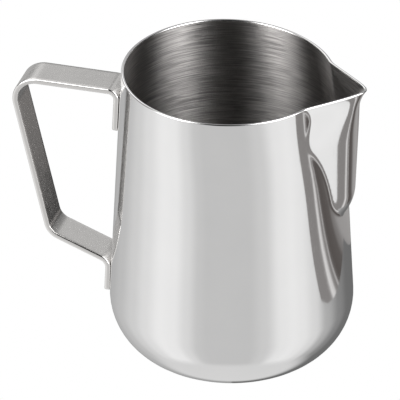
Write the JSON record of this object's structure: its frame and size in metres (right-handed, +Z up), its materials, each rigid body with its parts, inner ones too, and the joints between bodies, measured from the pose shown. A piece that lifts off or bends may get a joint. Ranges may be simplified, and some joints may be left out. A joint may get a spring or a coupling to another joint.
{
  "type": "milk frothing pitcher",
  "caption": "Open steel jug for steaming milk, with a pressed pouring spout on one side and a bent flat strap handle welded on the other.",
  "frame": {"origin": "centre of the flat base, on the surface the pitcher stands on", "axes": "+Z up out of the mouth, +X towards the spout, handle towards -X, +Y across"},
  "size_m": [0.1299, 0.0884, 0.114],
  "materials": {
    "polished_steel": "mirror polished outside, fine turned brushing inside",
    "strap_steel": "half polished with fine scratches",
    "weld_steel": "plain fused steel"
  },
  "bodies": {
    "root": {"pitcher_body": "polished_steel", "handle_strap": "strap_steel", "upper_spot_welds": "weld_steel", "lower_spot_welds": "weld_steel"}
  },
  "joints": []
}
